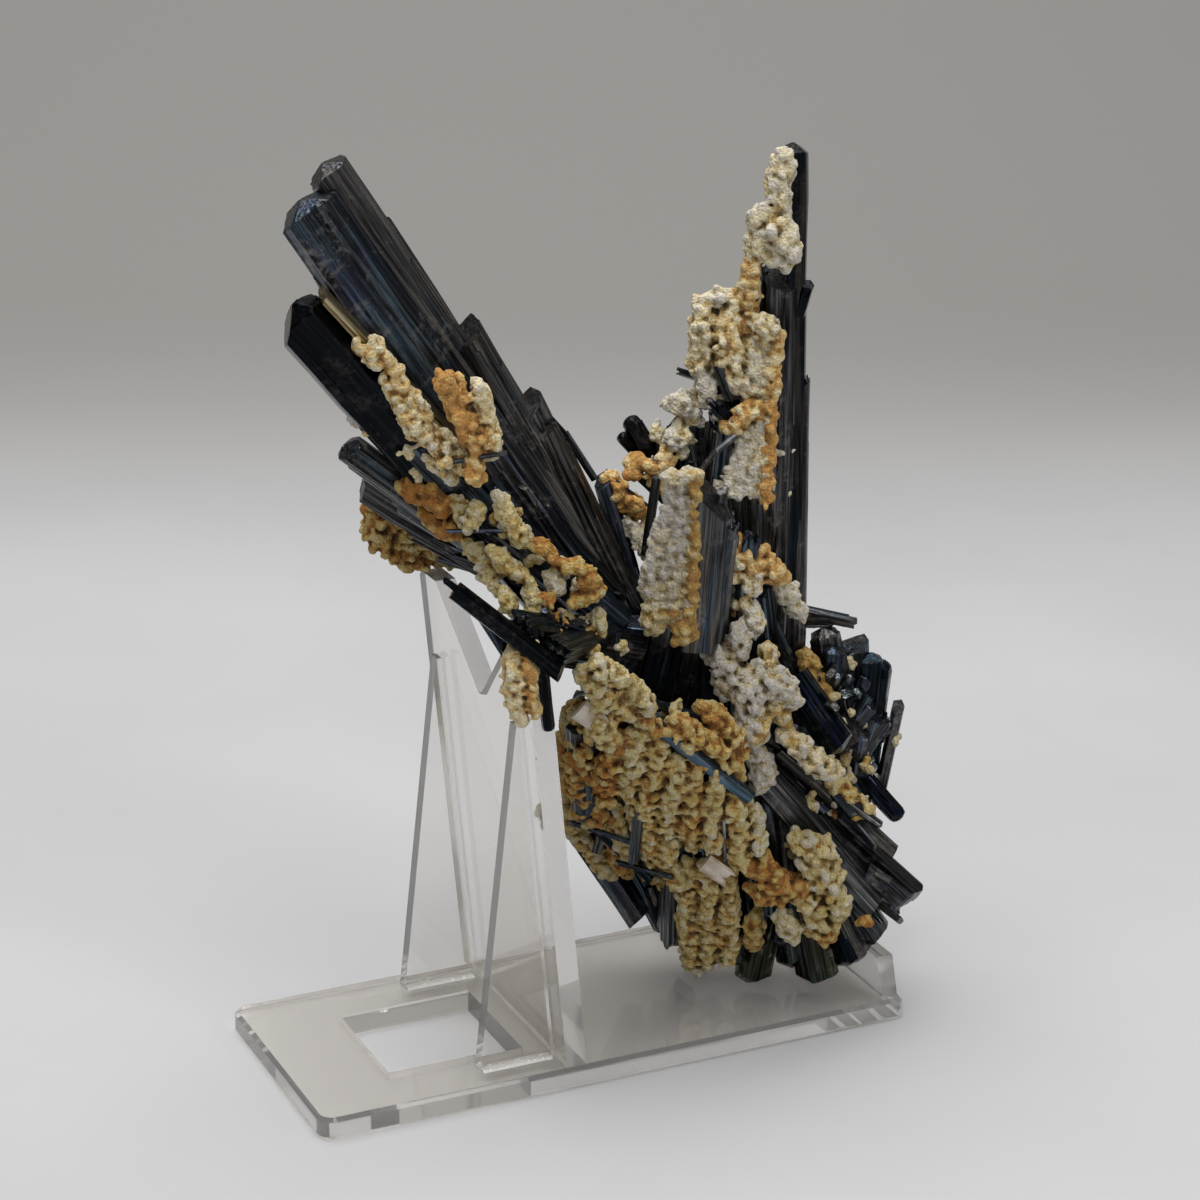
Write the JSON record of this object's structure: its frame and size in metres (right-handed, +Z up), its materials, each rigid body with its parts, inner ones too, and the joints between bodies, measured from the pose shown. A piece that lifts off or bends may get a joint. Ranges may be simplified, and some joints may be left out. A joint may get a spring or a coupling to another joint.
{
  "type": "stibnite crystal spray",
  "caption": "Spray of dark metallic striated crystal blades with cream and ochre nodular crust, leaning on a small clear acrylic easel",
  "frame": {"origin": "centre of the easel base's flat underside", "axes": "+Z up, +X along the base from its rear window towards the front lip, +Y across the base, away from the side with the two free black rods"},
  "size_m": [0.1262, 0.0608, 0.1718],
  "materials": {
    "clear_acrylic": "clear polished acrylic sheet with cut edges",
    "stibnite": "dark metallic blue-black crystal, striated along its length, with iridescent tarnish",
    "ochre_crust": "matt cream to orange-brown nodular crust",
    "white_crust": "matt grey-white granular crust"
  },
  "bodies": {
    "root": {"easel_base": "clear_acrylic", "easel_backrest": "clear_acrylic", "easel_gusset_near": "clear_acrylic", "easel_gusset_far": "clear_acrylic", "arm_blades": "stibnite", "arm_lower_prisms": "stibnite", "near_shoulder_rods": "stibnite", "spire_blades": "stibnite", "centre_prism": "stibnite", "sprig_prisms": "stibnite", "root_cluster": "stibnite", "crust_arm_rows": "ochre_crust", "crust_arm_underside": "ochre_crust", "crust_arm_mass": "ochre_crust", "crust_near_rods": "ochre_crust", "crust_spire": "ochre_crust", "crust_sprig_cluster": "ochre_crust", "crust_sprig_rod": "ochre_crust", "crust_centre_face": "white_crust", "crust_spire_foot": "ochre_crust", "crust_white_mass": "white_crust", "crust_lobe": "ochre_crust", "crust_curtain": "ochre_crust", "crust_hanging_column": "ochre_crust", "crust_left_flank": "ochre_crust"}
  },
  "joints": []
}
